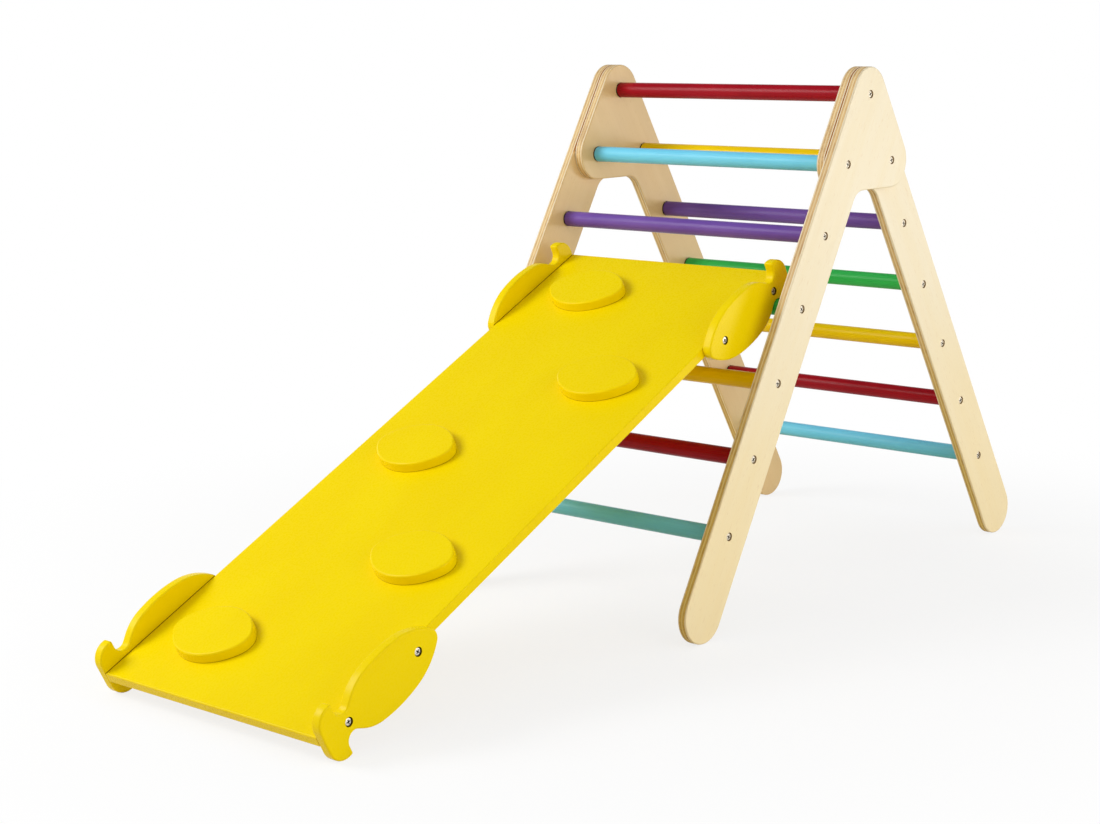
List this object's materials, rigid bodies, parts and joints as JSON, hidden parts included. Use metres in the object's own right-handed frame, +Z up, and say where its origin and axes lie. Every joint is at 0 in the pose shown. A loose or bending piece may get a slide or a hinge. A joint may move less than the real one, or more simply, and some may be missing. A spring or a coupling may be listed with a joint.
{
  "type": "climbing triangle",
  "caption": "Plywood A-frame with painted round rungs and a hooked-on yellow ramp with oval climbing stones, for small children to climb.",
  "frame": {"origin": "on the floor, under the middle of the space that the triangle and its ramp cover", "axes": "+Z up, +X from the ramp's low end towards the triangle, +Y to the climber's left"},
  "size_m": [1.5754, 0.53, 0.8115],
  "materials": {
    "birch_plywood": "clear matt lacquer, ply layers on the edges",
    "ramp_yellow_paint": "satin paint",
    "red_rung_paint": "satin paint",
    "light_blue_rung_paint": "satin paint",
    "purple_rung_paint": "satin paint",
    "green_rung_paint": "satin paint",
    "yellow_rung_paint": "satin paint",
    "screw_steel": "zinc-plated"
  },
  "bodies": {
    "triangle": {"apex_rung": "red_rung_paint", "front_leg_left": "birch_plywood", "front_leg_right": "birch_plywood", "front_leg_screws_left": "screw_steel", "front_leg_screws_right": "screw_steel", "front_rung_1": "light_blue_rung_paint", "front_rung_2": "purple_rung_paint", "front_rung_3": "green_rung_paint", "front_rung_4": "yellow_rung_paint", "front_rung_5": "red_rung_paint", "front_rung_6": "light_blue_rung_paint", "head_screws_left": "screw_steel", "head_screws_right": "screw_steel", "rear_leg_left": "birch_plywood", "rear_leg_right": "birch_plywood", "rear_leg_screws_left": "screw_steel", "rear_leg_screws_right": "screw_steel", "rear_rung_1": "yellow_rung_paint", "rear_rung_2": "purple_rung_paint", "rear_rung_3": "green_rung_paint", "rear_rung_4": "yellow_rung_paint", "rear_rung_5": "red_rung_paint", "rear_rung_6": "light_blue_rung_paint"},
    "ramp": {"climbing_stone_1": "ramp_yellow_paint", "climbing_stone_2": "ramp_yellow_paint", "climbing_stone_3": "ramp_yellow_paint", "climbing_stone_4": "ramp_yellow_paint", "climbing_stone_5": "ramp_yellow_paint", "hook_screws_left": "screw_steel", "hook_screws_right": "screw_steel", "lower_hook_left": "ramp_yellow_paint", "lower_hook_right": "ramp_yellow_paint", "ramp_board": "ramp_yellow_paint", "stone_screws": "screw_steel", "upper_hook_left": "ramp_yellow_paint", "upper_hook_right": "ramp_yellow_paint"}
  },
  "joints": [
    {"name": "ramp_hook_pivot", "type": "hinge", "parent": "triangle", "child": "ramp", "pos_m": [0.14567, 0, 0.45769], "axis": [0, 1, 0], "range_deg": [0, 26.5]}
  ]
}
